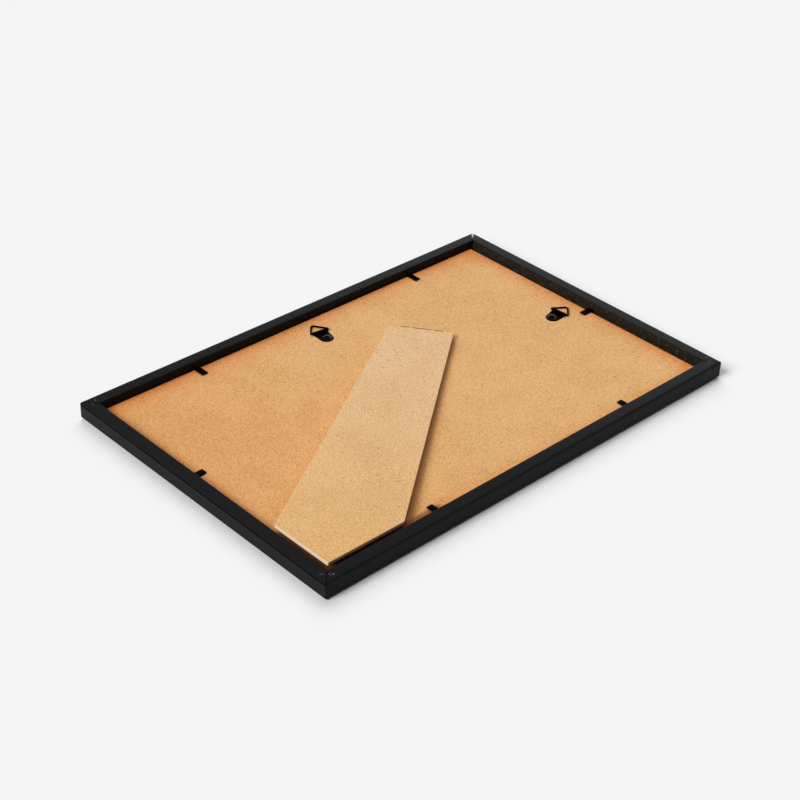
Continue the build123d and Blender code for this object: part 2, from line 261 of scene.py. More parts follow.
wearLook = {"patch": 140, "patchSpan": (0.45, 0.7), "grain": 1700, "dust": 1300, "dustSpan": (0.74, 0.8)}
wearGroup, gin, gout = newGroup(
    "edgeWear", [("Vector", "NodeSocketVector", None), ("Edge", "NodeSocketFloat", 0.0)],
    ("Mask", "Grain", "Dust"))
patchy = noise(wearGroup, gin["Vector"], wearLook["patch"], 4, 0.65)
grain = noise(wearGroup, gin["Vector"], wearLook["grain"], 2, 0.6)
worn = calc(wearGroup, "MULTIPLY", gin["Edge"], ramp(wearGroup, patchy, *wearLook["patchSpan"]))
dust = ramp(wearGroup, noise(wearGroup, gin["Vector"], wearLook["dust"], 0, 0.5), *wearLook["dustSpan"])
for label, value in (("Mask", worn), ("Grain", grain), ("Dust", dust)):
    wearGroup.links.new(value, gout[label])
print("shared effects made")

# Materials
foilTones = {"deep": (0.0110, 0.0114, 0.0119), "light": (0.0124, 0.0128, 0.0135), "worn": (0.03, 0.03, 0.031),
             "dust": (0.04, 0.04, 0.042), "inside": (0.0118, 0.0106, 0.0090), "joint": (0.002, 0.002, 0.002),
             "litScuffDeep": (0.019, 0.0150, 0.0105), "litScuffLight": (0.050, 0.041, 0.030),
             "wingSpeck": (0.34, 0.33, 0.31), "paleTipTone": (0.70, 0.69, 0.66), "wornShare": 0.25, "dustShare": 0.2,
             "sheen": (0.14, 0.22), "insideRough": 0.4}
wingSpeckPlace = {"halfX": 158.0, "halfY": 105.0, "seat": 4.59, "slope": 0.344, "spread": 1.5, "reach": 9.6,
             "endShare": 0.9, "topFrom": 10.9, "topFull": 11.2, "brokenSpan": (0.60, 0.68)}
seamShadeTones = {"deep": (0.0022, 0.0021, 0.002), "light": (0.006, 0.0055, 0.005)}
# sides as axis, way, half length and how fast the painted shade fades; covered as axis, wall, other axis and
# end;
# the lain strut's sides as way, taper, and how far past the strut's edge the painted strut shadow ends and is
# full
boardTones = {"deep": (0.575, 0.275, 0.09), "light": (0.86, 0.555, 0.27), "fibre": (0.46, 0.22, 0.075),
              "fibreShare": 0.35, "speck": (0.26, 0.11, 0.035), "speckShare": 0.6, "roughness": 0.75,
              "margin": 32.0, "wobble": 3.0, "railShade": (0.95, 0.60, 0.42), "railShadePower": 3.0,
              "tan": (0.98, 0.89, 0.79), "tanFrom": 40.0, "tanFull": -140.0,
              "sides": ((0, 1, 147.95, 1.25), (0, -1, 149.55, 1.8), (1, 1, 96.6, 1.15), (1, -1, 96.6, 1.6)),
              "covered": ((0, -150.35, 1, -50.0), (1, -97.35, 0, -62.0)),
              "coveredEnd": 9.0, "coveredFull": 6.0, "coveredFade": 6.0, "cornerShade": (0.42, 0.34, 0.29),
              "lain": {"bearing": 37.25, "pinDown": 64.012, "pinAside": 3.145, "halfTop": 19.9, "top": 8.0,
                       "sides": ((-1, 0.3, 9.0, 0.0), (1, 6.45, 10.0, -5.0)), "tone": (0.95, 0.83, 0.77)}}
strutTones = {"deep": (0.588, 0.347, 0.165), "light": (0.90, 0.620, 0.360), "fibre": (0.48, 0.26, 0.11),
              "fibreShare": 0.3, "speck": (0.22, 0.105, 0.04), "speckShare": 0.65, "roughness": 0.72,
              "golden": (1.0, 0.90, 0.68), "under": (0.62, 0.52, 0.42)}
cutTones = {"deep": (0.76, 0.47, 0.21), "light": (0.96, 0.69, 0.38), "keyLitDeep": (0.97, 0.78, 0.57),
            "keyLitLight": (0.99, 0.88, 0.74), "stretch": (260, 260, 2600), "layerSpan": (0.35, 0.7)}
steelLook = {"dark": 0.7, "bright": 1.3, "roughSpread": 0.07, "torn": (0.01, 0.01, 0.011), "tornScale": 1400,
             "tornSpread": 0.1}
glassTones = {"deep": (0.955, 0.975, 0.965), "light": (0.97, 0.985, 0.978), "smear": 40, "roughEnd": 0.03}
paperTones = {"deep": (0.80, 0.79, 0.76), "light": (0.86, 0.855, 0.83), "pulp": 700}
floorTones = {"deep": (0.912, 0.912, 0.912), "light": (0.914, 0.914, 0.914)}


# Pale specks along a corner wedge's two wings, within spread of them, q = seat - slope * (p - seat),
# where p and q are the larger and the smaller distance from the rails' outer faces
def wedgeWingSpecks(tree, place, speckPlace):
    split = separated(tree, place)
    fromX = calc(tree, "SUBTRACT", speckPlace["halfX"] * mm, calc(tree, "ABSOLUTE", split[0]))
    fromY = calc(tree, "SUBTRACT", speckPlace["halfY"] * mm, calc(tree, "ABSOLUTE", split[1]))
    larger = calc(tree, "MAXIMUM", fromX, fromY)
    smaller = calc(tree, "MINIMUM", fromX, fromY)
    onWing = calc(tree, "MULTIPLY_ADD", larger, speckPlace["slope"], smaller)
    apart = calc(tree, "ABSOLUTE", calc(tree, "SUBTRACT", onWing, speckPlace["seat"] * (1 + speckPlace["slope"]) * mm))
    close = ramp(tree, apart, speckPlace["spread"] * mm, 0.0)
    ended = ramp(tree, larger, speckPlace["reach"] * mm, speckPlace["endShare"] * speckPlace["reach"] * mm)
    top = ramp(tree, split[2], speckPlace["topFrom"] * mm, speckPlace["topFull"] * mm)
    broken = ramp(tree, noise(tree, place, 900, 2, 0.7), *speckPlace["brokenSpan"])
    return calc(tree, "MULTIPLY", calc(tree, "MULTIPLY", close, ended), calc(tree, "MULTIPLY", top, broken))


# Black foil: satin grain, rubbed edges, dusty in the rebate, pale specks along the wedges' wings, a pale
# patch at one tip, and on the short rails' inner walls mottled scuffs, partly painted light that makes these
# walls lighter
def makeFoil(tones, speckPlace):
    material, tree, shader, place = newMaterial("blackFoil", Specular_IOR_Level=0.035)
    effect = useGroup(tree, wearGroup, {"Vector": place, "Edge": mark(tree, "edge")})
    base = blendColour(tree, noise(tree, place, 30, 3), tones["deep"], tones["light"])
    worn = blendColour(tree, calc(tree, "MULTIPLY", effect["Mask"], tones["wornShare"]), base, tones["worn"])
    dusty = blendColour(tree, calc(tree, "MULTIPLY", effect["Dust"], tones["dustShare"]), worn, tones["dust"])
    flecks = ramp(tree, noise(tree, place, 420, 3, 0.7), 0.52, 0.68)
    # partly painted light: the short rails' inner walls are lighter, with mottled scuffs
    scuffedAndLit = blendColour(tree, flecks, tones["litScuffDeep"], tones["litScuffLight"])
    wall = blendColour(tree, mark(tree, "scuff"), tones["inside"], scuffedAndLit)
    inside = blendColour(tree, mark(tree, "inside"), dusty, wall)
    jointed = blendColour(tree, mark(tree, "joint"), inside, tones["joint"])
    # pale specks along the wedges' wings
    wingSpeck = blendColour(tree, wedgeWingSpecks(tree, place, speckPlace), jointed, tones["wingSpeck"])
    # pale patch at one tip, from the raw mark
    paleTipShare = calc(tree, "MULTIPLY", mark(tree, "raw"), ramp(tree, noise(tree, place, 900, 2, 0.6), 0.2, 0.4))
    tree.links.new(blendColour(tree, paleTipShare, wingSpeck, tones["paleTipTone"]), shader.inputs["Base Color"])
    sheen = ramp(tree, effect["Grain"], 0.3, 0.7, *tones["sheen"])
    rough = calc(tree, "MULTIPLY_ADD", mark(tree, "inside"), tones["insideRough"], sheen)
    tree.links.new(rough, shader.inputs["Roughness"])
    bump(tree, shader, effect["Grain"], 0.05, 0.05)
    return material


# Painted shade in the short rails' seam groove: matt black, a little dusty
def makeSeamShade(tones):
    material, tree, shader, place = newMaterial("seamShade", Roughness=0.9, Specular_IOR_Level=0.0)
    dusty = ramp(tree, noise(tree, place, 500, 3, 0.6), 0.4, 0.7)
    tree.links.new(blendColour(tree, dusty, tones["deep"], tones["light"]), shader.inputs["Base Color"])
    return material


# Pressed fibre: fine grain over a faint mottle, brown fibres and specks
def makeFibreboard(name, tones):
    material, tree, shader, place = newMaterial(name, Specular_IOR_Level=0.2)
    effect = useGroup(tree, fibreGroup, {"Vector": place})
    share = calc(tree, "MULTIPLY_ADD", effect["Mottle"], 0.15, calc(tree, "MULTIPLY", effect["Grain"], 0.85))
    base = blendColour(tree, share, tones["deep"], tones["light"])
    fibrous = calc(tree, "MULTIPLY", effect["Fibre"], tones["fibreShare"])
    fibred = blendColour(tree, fibrous, base, tones["fibre"])
    specked = calc(tree, "MULTIPLY", effect["Speck"], tones["speckShare"])
    colour = blendColour(tree, specked, fibred, tones["speck"])
    rough = ramp(tree, effect["Height"], 0.6, 1.4, tones["roughness"] - 0.06, tones["roughness"] + 0.06)
    tree.links.new(rough, shader.inputs["Roughness"])
    bump(tree, shader, effect["Height"], 0.2, 0.05)
    return material, tree, shader, place, colour


# Board: painted shade, deeper and more orange by the rails, the sum over its sides of (1 - pace * d /
# margin)^3 of the distance d, and a little towards its -X end; painted strut shadow, browner where the strut
# lies over it, fading out past the strut's sides, and painted shade, darker brown, in the corner that the
# strut's foot covers
def makeBoard(tones):
    material, tree, shader, place, colour = makeFibreboard("fibreboard", tones)
    split = separated(tree, place)
    swing = tones["wobble"] * mm
    wobble = calc(tree, "MULTIPLY_ADD", noise(tree, place, 60, 3), swing, -swing / 2)
    # painted shade: deeper and more orange near each rail's wall, fading inwards
    railShade = 0.0
    for axis, way, reach, pace in tones["sides"]:
        run = calc(tree, "MULTIPLY_ADD", split[axis], -way, calc(tree, "ADD", wobble, reach * mm))
        near = calc(tree, "MULTIPLY_ADD", run, -pace / (tones["margin"] * mm), 1.0, clamp=True)
        railShade = calc(tree, "ADD", railShade, calc(tree, "POWER", near, tones["railShadePower"]), clamp=True)
    tanMark = ramp(tree, split[0], tones["tanFrom"] * mm, tones["tanFull"] * mm)
    tanned = blendColour(tree, tanMark, colour, tones["tan"], "MULTIPLY")
    railShaded = blendColour(tree, railShade, tanned, tones["railShade"], "MULTIPLY")
    # painted shade: darker brown in the corner under the strut's foot
    cornerShade = 0.0
    for axis, wall, other, end in tones["covered"]:
        endAt, fullAt = (wall + tones["coveredEnd"]) * mm, (wall + tones["coveredFull"]) * mm
        across = ramp(tree, split[axis], endAt, fullAt)
        along = ramp(tree, split[other], end * mm, (end - tones["coveredFade"]) * mm)
        cornerShade = calc(tree, "MAXIMUM", cornerShade, calc(tree, "MULTIPLY", across, along))
    # painted strut shadow: browner under the strut and fading out past its sides
    lain = tones["lain"]
    turn = np.radians(lain["bearing"])
    toward = dotted(tree, place, (np.cos(turn), np.sin(turn), 0.0))
    sideways = dotted(tree, place, (-np.sin(turn), np.cos(turn), 0.0))
    down = calc(tree, "SUBTRACT", lain["pinDown"] * mm, toward)
    aside = calc(tree, "SUBTRACT", sideways, lain["pinAside"] * mm)
    strutShadow = calc(tree, "MULTIPLY", calc(tree, "SUBTRACT", 1.0, cornerShade),
                   ramp(tree, down, 0.0, lain["top"] * mm))
    for way, taper, far, near in lain["sides"]:
        edge = calc(tree, "MULTIPLY_ADD", down, np.tan(np.radians(taper)), lain["halfTop"] * mm)
        past = calc(tree, "SUBTRACT", calc(tree, "MULTIPLY", aside, way), edge)
        strutShadow = calc(tree, "MULTIPLY", strutShadow, ramp(tree, past, far * mm, near * mm))
    strutShadowed = blendColour(tree, strutShadow, railShaded, lain["tone"], "MULTIPLY")
    tree.links.new(blendColour(tree, cornerShade, strutShadowed, tones["cornerShade"], "MULTIPLY"), shader.inputs["Base Color"])
    return material


# Strut: golden towards its foot, layered fibre on its cut edges, painted light on those facing the -X key,
# and a browner underside
def makeStrutBoard(tones, edgeTones):
    material, tree, shader, place, colour = makeFibreboard("strutBoard", tones)
    layered = noise(tree, stretched(tree, place, edgeTones["stretch"]), 1.0, 3, 0.6)
    layers = ramp(tree, layered, *edgeTones["layerSpan"])
    raw = blendColour(tree, layers, edgeTones["deep"], edgeTones["light"])
    pale = blendColour(tree, layers, edgeTones["keyLitDeep"], edgeTones["keyLitLight"])
    golden = blendColour(tree, mark(tree, "foot"), colour, tones["golden"], "MULTIPLY")
    under = blendColour(tree, mark(tree, "under"), golden, tones["under"], "MULTIPLY")
    edged = blendColour(tree, mark(tree, "pale"), raw, pale)
    tree.links.new(blendColour(tree, mark(tree, "cut"), under, edged), shader.inputs["Base Color"])
    return material


# Steel: grain, rubbed edges, and for the wedges torn foil over much of the rim
def makeSteel(name, tone, worn, roughness, metallic, specular, torn=0.0):
    look = steelLook
    material, tree, shader, place = newMaterial(name, Metallic=metallic, Specular_IOR_Level=specular)
    effect = useGroup(tree, wearGroup, {"Vector": place, "Edge": mark(tree, "edge")})
    dark, bright = (tuple(look[key] * c for c in tone) for key in ("dark", "bright"))
    colour = blendColour(tree, effect["Mask"], blendColour(tree, effect["Grain"], dark, bright), worn)
    if torn:
        cover = ramp(tree, noise(tree, place, look["tornScale"], 2, 0.7), torn, torn + look["tornSpread"])
        colour = blendColour(tree, cover, look["torn"], colour)
    tree.links.new(colour, shader.inputs["Base Color"])
    spread = look["roughSpread"]
    rough = ramp(tree, effect["Grain"], 0.3, 0.7, roughness - spread, roughness + spread)
    tree.links.new(rough, shader.inputs["Roughness"])
    bump(tree, shader, effect["Grain"], 0.1, 0.03)
    return material


def makeGlass(tones):
    material, tree, shader, place = newMaterial("clearGlass", Transmission_Weight=1.0, IOR=1.5)
    smear = noise(tree, place, tones["smear"], 3, 0.6)
    tree.links.new(blendColour(tree, smear, tones["deep"], tones["light"]), shader.inputs["Base Color"])
    tree.links.new(ramp(tree, smear, 0.4, 0.8, 0.0, tones["roughEnd"]), shader.inputs["Roughness"])
    return material


def makePaper(tones):
    material, tree, shader, place = newMaterial("insertPaper", Roughness=0.85, Specular_IOR_Level=0.2)
    pulp = noise(tree, place, tones["pulp"], 4, 0.7)
    tree.links.new(blendColour(tree, pulp, tones["deep"], tones["light"]), shader.inputs["Base Color"])
    bump(tree, shader, pulp, 0.15, 0.03)
    return material


def makeFloor(tones):
    material, tree, shader, place = newMaterial("paleFloor", Roughness=1.0, Specular_IOR_Level=0.0)
    cloud = noise(tree, place, 3, 2)
    tree.links.new(blendColour(tree, cloud, tones["deep"], tones["light"]), shader.inputs["Base Color"])
    return material


foil = makeFoil(foilTones, wingSpeckPlace)
seamShade = makeSeamShade(seamShadeTones)
fibreboard = makeBoard(boardTones)
strutBoard = makeStrutBoard(strutTones, cutTones)
# steels as tone, worn tone, roughness, metallic, specular, and the noise below which torn foil covers them
blackSteel = makeSteel("blackSteel", (0.0008, 0.0008, 0.0009), (0.003, 0.0027, 0.0024), 0.45, 0.0, 0.012)
blackEnamel = makeSteel("blackEnamel", (0.0015, 0.0015, 0.0017), (0.005, 0.005, 0.005), 0.24, 0.0, 0.14)
hingeSteel = makeSteel("hingeSteel", (0.024, 0.011, 0.004), (0.06, 0.032, 0.014), 0.55, 0.0, 0.004)
wedgeSteel = makeSteel("wedgeSteel", (0.24, 0.23, 0.21), (0.40, 0.37, 0.33), 0.35, 1.0, 0.45, 0.62)
glass = makeGlass(glassTones)
paper = makePaper(paperTones)
print("materials made")

# Rails: one section swept to the mitres, along = t * (halfLength - s - gap), s inwards from the outer face
rail = {"halfX": 158.0, "halfY": 105.0, "wall": 7.65, "depth": 11.3, "lip": 5.0, "lipThickness": 1.4,
        "frontRound": 1.8, "outerRound": 1.0, "innerRound": 0.25, "sightRound": 0.6, "seamDrop": 1.7,
        "seamWidth": 0.25, "seamDepth": 0.2, "seamTaper": 0.8, "seamFoot": 9.3, "seamReach": 0.3,
        "slack": 0.01, "mitreGap": 0.042, "mitreBevel": 0.1, "steps": 90,
        "endRuns": (0.12, 0.25, 0.5, 0.8, 1.2, 1.8), "endWear": 1.2, "jointWidth": 0.45, "paleTipReach": 5.6,
        "paleTipWidth": 1.2, "paleTipLeast": 0.05, "paleTipDepth": 1.2, "darkBandSpread": 0.42,
        "darkBandDepth": 0.85, "darkBandReach": 0.8}


# The section as (s, z) once round from the lip's top, with its edge and inside marks
def railSection():
    r, d, w = rail, rail["depth"], rail["wall"]
    seam = d - r["seamDrop"]
    half = r["seamWidth"] / 2
    groove = r["seamTaper"] * half
    runs = [
        (np.array([(w, r["lipThickness"]), (w, 4.0), (w, 7.0), (w, d - r["innerRound"] - 0.4)]), 0, 1),
        (arc((w - r["innerRound"], d - r["innerRound"]), r["innerRound"], 0, 90, 7), 1, 0),
        (np.array([(w - 1.0, d), (w - 2.4, d), (w / 2 + 0.5, d), (3.2, d), (2.6, d), (1.9, d)]), 0, 0),
        (arc((r["outerRound"], d - r["outerRound"]), r["outerRound"], 90, 180, 13), 0.8, 0),
        (np.array([(0, seam + half), (r["seamDepth"], seam + groove), (r["seamDepth"], seam - groove),
                   (0, seam - half)]), 0.3, 0),
        (np.array([(0, r["seamFoot"]), (0, 8.6), (0, 6.0), (0, 3.4)]), 0, 0),
        (arc((r["frontRound"], r["frontRound"]), r["frontRound"], 180, 270, 13), 0.6, 0),
        (np.array([(3.0, 0), (6.5, 0), (10.0, 0)]), 0, 0),
        (arc((w + r["lip"] - r["sightRound"], r["sightRound"]), r["sightRound"], 270, 360, 7), 0.8, 0),
        (np.array([(w + r["lip"], r["lipThickness"]), (w + 0.5 * r["lip"], r["lipThickness"])]), 0.2, 1),
    ]
    points = np.concatenate([run for run, _, _ in runs])
    edge = np.concatenate([np.full(len(run), level) for run, level, _ in runs])
    inside = np.concatenate([np.full(len(run), level) for run, _, level in runs])
    return points, edge, inside


section, sectionEdge, sectionInside = railSection()
tangent = tangents(section)
inward = unit(np.stack([-tangent[:, 1], tangent[:, 0]], axis=1))
pairs = np.stack([section, np.roll(section, -1, axis=0)])
seamFaces = ((pairs[..., 0].max(axis=0) < rail["seamReach"])
             & (pairs[..., 1].min(axis=0) > rail["seamFoot"] - rail["slack"])
             & (pairs[..., 1].max(axis=0) < rail["depth"] - rail["outerRound"] + rail["slack"]))
# outward way, half length, half span, which end has the pale tip, height of the dark band on the outer arris,
# and whether the seam groove gets the painted seam shade
railSides = {"long_rail_top": ((0, 1), "halfX", "halfY", 1, 10.7, False),
             "long_rail_bottom": ((0, -1), "halfX", "halfY", 0, 10.7, False),
             "short_rail_top": ((1, 0), "halfY", "halfX", -1, 10.2, True),
             "short_rail_bottom": ((-1, 0), "halfY", "halfX", 0, 10.2, True)}
for name, (outward, lengthKey, spanKey, paleTipEnd, darkBandHeight, shadedSeam) in railSides.items():
    half, span = rail[lengthKey], rail[spanKey]
    ends = np.array([0.0, *rail["endRuns"]]) / half
    middle = np.linspace(ends[-1] - 1, 1 - ends[-1], rail["steps"])[1:-1]
    t = np.concatenate([ends - 1, middle, (1 - ends)[::-1]])
    shape = np.broadcast_to(section, (len(t), *section.shape)).copy()
    shape[[0, -1]] += inward * rail["mitreBevel"]
    inset, height = shape[..., 0], shape[..., 1]
    along = t[:, None] * (half - inset - rail["mitreGap"])
    out, way = sideWays(outward)
    points = out * (span - shape[..., :1]) + way * along[..., None] + up * shape[..., 1:]
    toMitre = half - inset - np.abs(along)
    endMark = np.clip(1 - toMitre / rail["endWear"], 0, 1)
    joint = np.clip(2 * (1 - toMitre / rail["jointWidth"]), 0, 1)
    # a dark band along the outer arris, carried by the joint mark
    arrisDarkBand = rail["darkBandDepth"] * np.exp(-((height - darkBandHeight) / rail["darkBandSpread"]) ** 2)
    joint = np.maximum(joint, arrisDarkBand * (inset < rail["darkBandReach"] * rail["outerRound"]))
    # a pale patch at one end's tip, carried by the raw mark
    paleTipWidth = rail["paleTipWidth"] * np.clip(1 - (inset / rail["paleTipReach"]) ** 2, rail["paleTipLeast"], 1)
    paleTip = np.clip(2 * (1 - toMitre / paleTipWidth), 0, 1) * (np.sign(t)[:, None] == paleTipEnd)
    paleTip = paleTip * (inset < rail["paleTipReach"]) * (height > rail["depth"] - rail["paleTipDepth"])
    shell = newShell()
    # the short rails' inner walls get scuffs and painted light
    addGrid(shell, points, edge=np.maximum(sectionEdge[None, :], endMark), inside=sectionInside[None, :],
            raw=paleTip, joint=joint * (1 - paleTip), scuff=float(name.startswith("short")))
    # painted shade: the short rails' seam groove gets the matt black seam material
    seamShadeMask = np.concatenate([np.tile(seamFaces & shadedSeam, len(t) - 1), [False, False]])
    makePiece(name + "_moulding", shell, foil, "frame", (name,), 50,
              (seamShade, seamShadeMask))
print("rails made")

# Corner wedges: bent strips across the mitres, their top rims just clear of the foil
wedge = {"thickness": 0.5, "wing": 5.0, "depth": 6.0, "share": 0.4, "splay": 19.0, "top": 11.33,
         "bendRound": 0.5, "bendShare": 0.4, "steps": 41}
shell = newShell()
splay = np.radians(wedge["splay"])
u = np.linspace(-1, 1, wedge["steps"])[:, None]
inset = rail["wall"] * (1 - wedge["share"])
soft = wedge["bendRound"] * np.exp(-(u * wedge["wing"] / wedge["bendRound"]) ** 2) * wedge["bendShare"]
for sideX, sideY in ((1, 1), (1, -1), (-1, 1), (-1, -1)):
    bend = np.array([sideX * (rail["halfX"] - inset), sideY * (rail["halfY"] - inset)])
    wingA = np.array([sideX * np.sin(splay), -sideY * np.cos(splay)])
    wingB = np.array([-sideX * np.cos(splay), sideY * np.sin(splay)])
    wings = np.where(u < 0, -u * wedge["wing"] * wingA, u * wedge["wing"] * wingB)
    flatPath = bend + wings + soft * (wingA + wingB)
    slope = unit(np.gradient(flatPath, axis=0))
    normal = np.stack([-slope[:, 1], slope[:, 0], np.zeros(len(u))], axis=1)
    centre = np.concatenate([flatPath, np.full((len(u), 1), wedge["top"] - wedge["depth"] / 2)], axis=1)
    sheetSweep(shell, centre, np.tile(up, (len(u), 1)), normal, np.full(len(u), wedge["depth"] / 2),
               wedge["thickness"], edge=0.6)
makePiece("corner_wedge_strips", shell, wedgeSteel, "frame", ("corner_wedges",), 60)
print("corner wedges made")

# Strut: outline x rounded arris, the foot's two edges cut along the rails
strut = {"pin": (49.05, 41.25, 7.25), "bearing": 37.25, "lift": 0.8, "halfTop": 20.0, "start": 1.6,
         "taperShort": 6.45, "taperLong": 0.3, "tip": (-147.55, -94.55), "seat": -0.2, "thickness": 2.2,
         "topCorner": 1.2, "footCorner": 0.5, "arris": 0.1, "arrisSteps": 6, "spacing": 2.5,
         "ragged": 0.03, "seed": 11, "goldenFrom": 60.0, "goldenRun": 180.0, "keyLitFrom": 0.85,
         "keyLitRun": 0.1, "underTop": 0.2}
bearing, lift = np.radians(strut["bearing"]), np.radians(strut["lift"])
facing = np.array([np.cos(bearing), np.sin(bearing)])
pinWay = np.array([-facing[1], facing[0], 0.0])
strutWay = np.array([-facing[0] * np.cos(lift), -facing[1] * np.cos(lift), np.sin(lift)])
strutUp = np.cross(pinWay, strutWay)


# Corners of the strut in its own plane: x along the pin, y down the strut
def strutOutline():
    run = np.array(strut["pin"][:2]) - np.array(strut["tip"])
    tipX = run[0] * facing[1] - run[1] * facing[0]
    tipY = run[0] * facing[0] + run[1] * facing[1]
    spreadS, spreadL = np.tan(np.radians([strut["taperShort"], strut["taperLong"]]))
    runS = strut["halfTop"] + (tipY - strut["start"]) * spreadS - tipX
    runL = strut["halfTop"] + (tipY - strut["start"]) * spreadL + tipX
    edgeS = runS / (facing[0] + spreadS * facing[1])
    edgeL = runL / (facing[1] + spreadL * facing[0])
    corners = np.array([(strut["halfTop"], strut["start"]),
                        (tipX + edgeS * facing[0], tipY - edgeS * facing[1]), (tipX, tipY),
                        (tipX - edgeL * facing[1], tipY - edgeL * facing[0]),
                        (-strut["halfTop"], strut["start"])])
    return corners, [strut["topCorner"], *[strut["footCorner"]] * 3, strut["topCorner"]]


# Closed line through rounded corners, with points at about even spacing on its straight runs
def roundedLoop(corners, radii, spacing, steps=7):
    count = len(corners)
    arcs = []
    for i in range(count):
        before, here, after = corners[i - 1], corners[i], corners[(i + 1) % count]
        a = (before - here) / np.linalg.norm(before - here)
        b = (after - here) / np.linalg.norm(after - here)
        halfAngle = np.arccos(np.clip(a @ b, -1, 1)) / 2
        reach = radii[i] / np.tan(halfAngle)
        centre = here + (a + b) / np.linalg.norm(a + b) * radii[i] / np.sin(halfAngle)
        first, last = here + a * reach - centre, here + b * reach - centre
        sweep = np.arctan2(first[0] * last[1] - first[1] * last[0], first @ last)
        angle = np.arctan2(first[1], first[0]) + np.linspace(0, sweep, steps)
        arcs.append(centre + radii[i] * np.stack([np.cos(angle), np.sin(angle)], axis=1))
    line = []
    for i in range(count):
        line.append(arcs[i])
        p, q = arcs[i][-1], arcs[(i + 1) % count][0]
        extra = max(int(np.linalg.norm(q - p) / spacing), 1)
        line.append(p + (q - p) * np.linspace(0, 1, extra + 1)[1:-1, None])
    return np.concatenate(line)


loop = roundedLoop(*strutOutline(), strut["spacing"])
tangent = tangents(loop)
side = unit(np.stack([-tangent[:, 1], tangent[:, 0]], axis=1))
side *= np.sign(np.sum(side * (loop.mean(axis=0) - loop), axis=1))[:, None]
# rings from the underside to the top, as inset from the outline, height, and how far they are on the cut edge
arris, thick = strut["arris"], strut["thickness"]
turns = np.linspace(0, turnQuarter, strut["arrisSteps"])
rings = np.array([(1.2 * arris, 0.0, 0.0), (0.3 * arris, 0.05, 0.8), (0.0, 0.12, 1.0), (0.0, 1.1, 1.0),
                  *np.stack([arris - arris * np.cos(turns), thick - arris + arris * np.sin(turns),
                             np.linspace(1, 0, len(turns))], axis=1), (2.5 * arris, thick, 0.0)])
ringInset, ringHeight, ringCut = rings.T[:, :, None]
rng = np.random.default_rng(strut["seed"])
ragged = np.convolve(rng.normal(0, 1, len(loop) + 4), np.ones(5) / 5, "valid") * strut["ragged"]
insets = ringInset + np.maximum(ragged, 0) * ringCut
flatRings = loop + side * insets[..., None]
points = (np.array(strut["pin"]) + flatRings[..., :1] * pinWay + flatRings[..., 1:] * strutWay
          + (strut["seat"] + ringHeight)[..., None] * strutUp)
footMark = np.clip((flatRings[..., 1] - strut["goldenFrom"]) / strut["goldenRun"], 0, 1)
towardX = -(side[:, :1] * pinWay + side[:, 1:] * strutWay)[:, 0]
# painted light: cut edges facing -X, towards the key, get the paler tone
keyLitMark = np.clip((-towardX - strut["keyLitFrom"]) / strut["keyLitRun"], 0, 1)
shell = newShell()
addGrid(shell, points, cut=ringCut, foot=footMark, pale=keyLitMark[None, :],
        under=(ringHeight < strut["underTop"]).astype(float))
makePiece("strut_leg", shell, strutBoard, "strut", ("strut",), 60)
print("strut made")

# Hangers: plate rolled round the wire, triangular ring, domed rivet
hanger = {"radius": 4.5, "end": 0.9, "reach": 7.7, "barrel": 10.3, "plate": 0.4, "wire": 1.15,
          "play": 0.06, "endFrom": 0.06, "curlFrom": -90, "curlTo": 205, "boardTop": 6.0,
          "boardBottom": 3.6, "ringBase": 13.7, "ringHeight": 9.3, "ringRadii": (0.75, 1.35, 0.75),
          "ringSpacing": 0.6, "restGap": 0.05, "head": 6.4, "rise": 2.0, "rim": 0.25, "rimFoot": 0.05,
          "rimInset": 0.08, "domePower": 2.4, "shank": 2.9, "flare": 4.6, "flareShare": 0.4, "pole": 0.02,
          "tailPole": 0.05}
# rivet's place, way to the ring, turn, and lean of the ring's apex
hangerPlaces = {"long": ((-0.6, 72.65), (0, 1), -8.0, -0.5), "short": ((123.45, 0.65), (1, 0), 8.0, 0.25)}


# A profile of (radius, height) turned about an upright axis
def lathe(shell, profile, middle, count=64, **marks):
    angle = np.linspace(0, turnFull, count, endpoint=False)
    ring = np.stack([np.cos(angle), np.sin(angle), np.zeros(count)], axis=1)
    addGrid(shell, middle + profile[:, :1, None] * ring[None] + profile[:, 1:, None] * up, **marks)


